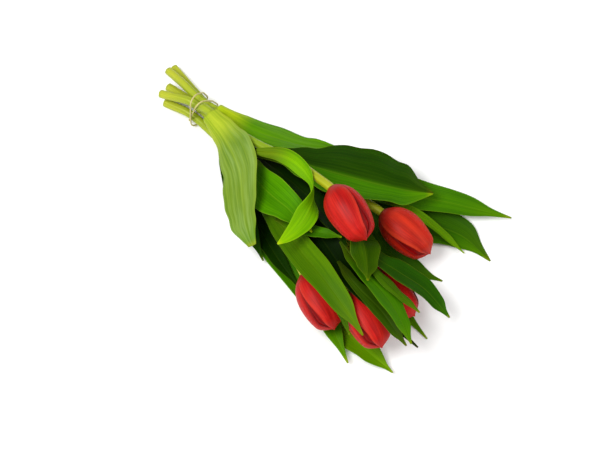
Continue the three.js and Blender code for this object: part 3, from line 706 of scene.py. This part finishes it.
def make_petal(number, ring, k, base, axis, laps, tip_drop, draw, is_front=False):
    """One petal. laps is how far out its two edges lie, and tip_drop lowers its tip."""
    node = f"bud_{number}_{ring}_{k}"
    is_inner = ring == "inner"
    share = 1 - (1 - np.linspace(0, 1, PETAL_ROWS)[:, None]) ** ROW_GATHERING
    across = np.linspace(-1, 1, PETAL_COLUMNS)[None]
    grid = slab_grid(node)[::-1]
    height, radius, facing, half_angle = petal_profile(grid, base, axis, share)

    # The foot rounds in to meet the stem, and the tip closes on the bud's axis.
    foot = np.clip(1 - share / FOOT_SHARE, 0, 1)
    ending = rising(share, ENDING_START)
    radius = radius * (1 - FOOT_NARROWING * foot ** 2)
    height = height - FOOT_DROP * foot
    if is_inner:
        radius = radius + INNER_PETAL_RISE * (1 - foot)
    radius = (radius - PETAL_THICKNESS / 2) * (1 - TIP_CLOSING * ending ** TIP_CLOSING_POWER)

    # It covers less of the bud towards its tip, and more again where its radius closes.
    narrowed = rising(share, NARROWING_START) ** NARROWING_POWER * (1 - TIP_OPENING * ending ** 2)
    narrowing = 1 - PETAL_NARROWING[ring] * narrowed
    angles = half_angle * PETAL_WIDENING[ring] * narrowing * across
    reach = radius + petal_relief(share, across, foot, ending, laps, draw.random())
    notch = (tip_drop + TIP_ARCH * across ** 2) * ending + TIP_ROUNDING * ending ** 4
    points = (
        base
        + (height - notch)[..., None] * axis
        + (reach * np.cos(angles))[..., None] * facing
        + (reach * np.sin(angles))[..., None] * np.cross(axis, facing)
    )
    normals = grid_normals(points)
    outward = points - base - ((points - base) @ axis)[..., None] * axis
    if (normals * outward).sum() < 0:
        points = points[:, ::-1]
        normals = grid_normals(points)
    thickness = blade_thickness(PETAL_THICKNESS, PETAL_EDGE_THICKNESS, across, PETAL_ROWS)
    vertices, faces, uvs = slab_mesh(points, normals, thickness)
    seed = draw.uniform(*NOISE_SEEDS)
    material = petal_material(f"{node}_red", number, is_inner, is_front, seed)
    add_piece(f"{node}_petal", vertices, faces, uvs, [material], [node])


def make_bud(number, draw):
    """Six petals. The outer one that looks most at the camera lies over the other two."""
    base, axis = bud_axis(number)
    facings = {
        k: petal_facing(slab_grid(f"bud_{number}_outer_{k}"), base, axis) for k in PETAL_NUMBERS}
    front = max(facings, key=lambda k: facings[k] @ VIEW_BACK)
    for k in PETAL_NUMBERS:
        if k == front:
            laps, drop = (FRONT_PETAL_LIFT, FRONT_PETAL_LIFT), 0.0
        else:
            free_edge = FREE_EDGE if k % 2 else -FREE_EDGE
            towards = facings[front] @ np.cross(axis, facings[k]) > 0
            laps = (free_edge, TUCKED_EDGE) if towards else (TUCKED_EDGE, free_edge)
            drop = REAR_TIP_DROP
        make_petal(number, "outer", k, base, axis, laps, drop, draw, k == front)
    for k in PETAL_NUMBERS:
        make_petal(number, "inner", k, base, axis, (-INNER_PETAL_LAP, INNER_PETAL_LAP), 0.0, draw)


# ---- stems -----------------------------------------------------------------------------------

def make_stem(number, cut, draw):
    """A ribbed stalk round its CAD stem's centre line, with a domed cut face at each end."""
    node = f"stem_{number}"
    centres, radius = stem_line(node)
    line = smooth(centres, STEM_ROWS)
    ahead = np.gradient(line, axis=0)
    ahead /= np.linalg.norm(ahead, axis=1, keepdims=True)
    sideways = np.cross(ahead, [0, 0, 1])
    sideways /= np.linalg.norm(sideways, axis=1, keepdims=True)
    upward = np.cross(sideways, ahead)
    phase = draw.random()
    vertices = []
    uvs = []
    faces = []
    face_materials = []
    for i in range(STEM_ROWS):
        share = i / (STEM_ROWS - 1)
        swell = 1 + STEM_SWELL * math.sin(2 * math.pi * (STEM_SWELLS * share + phase))
        for j in range(STEM_COLUMNS + 1):
            angle = 2 * math.pi * j / STEM_COLUMNS
            rib = STEM_RIB * math.sin(STEM_RIBS * angle + STEM_TWIST * share)
            reach = radius * swell + rib + STEM_PLUMPNESS
            around = math.cos(angle) * sideways[i] + math.sin(angle) * upward[i]
            vertices.append(line[i] + around * reach)
            uvs.append((j / STEM_COLUMNS, share))
    width = STEM_COLUMNS + 1
    for i in range(STEM_ROWS - 1):
        for j in range(STEM_COLUMNS):
            a = i * width + j
            faces.append((a, a + 1, a + 1 + width, a + width))
            face_materials.append(0)
    for i, order in ((0, -1), (STEM_ROWS - 1, 1)):
        rim = len(vertices)
        for j in range(STEM_COLUMNS):
            vertices.append(vertices[i * width + j])
            uvs.append((0.0, 1.0))
        middle = len(vertices)
        vertices.append(line[i] + ahead[i] * order * STEM_END_BULGE)
        uvs.append((0.0, 0.0))
        for j in range(STEM_COLUMNS):
            pair = (rim + j, rim + (j + 1) % STEM_COLUMNS)
            faces.append((middle, *pair[::order]))
            face_materials.append(1)
    material = stem_material(f"{node}_green", draw.uniform(*NOISE_SEEDS))
    piece = add_piece(f"{node}_stalk", vertices, faces, uvs, [material, cut], [node],
                      face_materials)
    weld(piece)


# ---- the rubber band -------------------------------------------------------------------------

def dress_band():
    """The CAD band itself, rounded off and given its rubber."""
    band = frame["nodes"]["rubber_band"]
    weld(band)
    fine = band.modifiers.new("fine", "SUBSURF")
    fine.levels = BAND_SUBDIVISIONS
    fine.render_levels = BAND_SUBDIVISIONS
    band.data.materials.clear()
    band.data.materials.append(band_material())
    for polygon in band.data.polygons:
        polygon.use_smooth = True


# ---- floor, light and camera -----------------------------------------------------------------

def make_floor():
    mesh = bpy.data.meshes.new("floor")
    half = FLOOR_HALF
    corners = [(-half, -half, 0), (half, -half, 0), (half, half, 0), (-half, half, 0)]
    mesh.from_pydata(corners, [], [(0, 1, 2, 3)])
    floor = new_object("floor", mesh)
    n = Nodes("floor_paper")
    grain = n.grain("ShaderNodeTexNoise", FLOOR_GRAIN)
    tint = n.ramp(grain.outputs["Fac"], [(0.3, colour(246, 246, 245)), (0.7, colour(249, 249, 248))])
    mesh.materials.append(n.finish(Base_Color=tint, Roughness=0.9, Specular_IOR_Level=0.1))


def aim(thing, azimuth, elevation, distance):
    """Sets a light or camera at a bearing from the target, looking at it."""
    back = away_from_target(azimuth, elevation)
    thing.location = CAMERA_TARGET + back * distance
    thing.rotation_mode = "QUATERNION"
    thing.rotation_quaternion = (-back).to_track_quat("-Z", "Y")


def add_light(name, azimuth, elevation, distance, size, power):
    light = bpy.data.lights.new(name, "AREA")
    light.shape = "DISK"
    light.size = size
    light.energy = power
    aim(new_object(name, light), azimuth, elevation, distance)


def make_camera():
    data = bpy.data.cameras.new("camera")
    data.lens = CAMERA_LENS
    camera = new_object("camera", data)
    aim(camera, CAMERA_AZIMUTH, CAMERA_ELEVATION, CAMERA_DISTANCE)
    bpy.context.scene.camera = camera


def make_world():
    world = bpy.data.worlds.new("studio")
    world.use_nodes = True
    background = world.node_tree.nodes["Background"]
    background.inputs["Color"].default_value = WHITE
    background.inputs["Strength"].default_value = WORLD_STRENGTH
    bpy.context.scene.world = world
    bpy.context.scene.view_settings.view_transform = "Standard"


# ---- assembly --------------------------------------------------------------------------------

random_draw = random.Random(RANDOM_SEED)
slots = {part["node"]: part["material_slot"] for part in frame["record"]["subparts"]}

make_world()
make_camera()
for name, (turn, elevation, distance, size, power) in LIGHTS.items():
    add_light(name, CAMERA_AZIMUTH + turn, elevation, distance, size, power)
make_floor()

cut_face = cut_material()
for number in BUD_NUMBERS:
    make_stem(number, cut_face, random_draw)
    make_bud(number, random_draw)
for node in sorted(slots):
    if node.startswith("leaf_"):
        make_leaf(node, slots[node], random_draw)
dress_band()
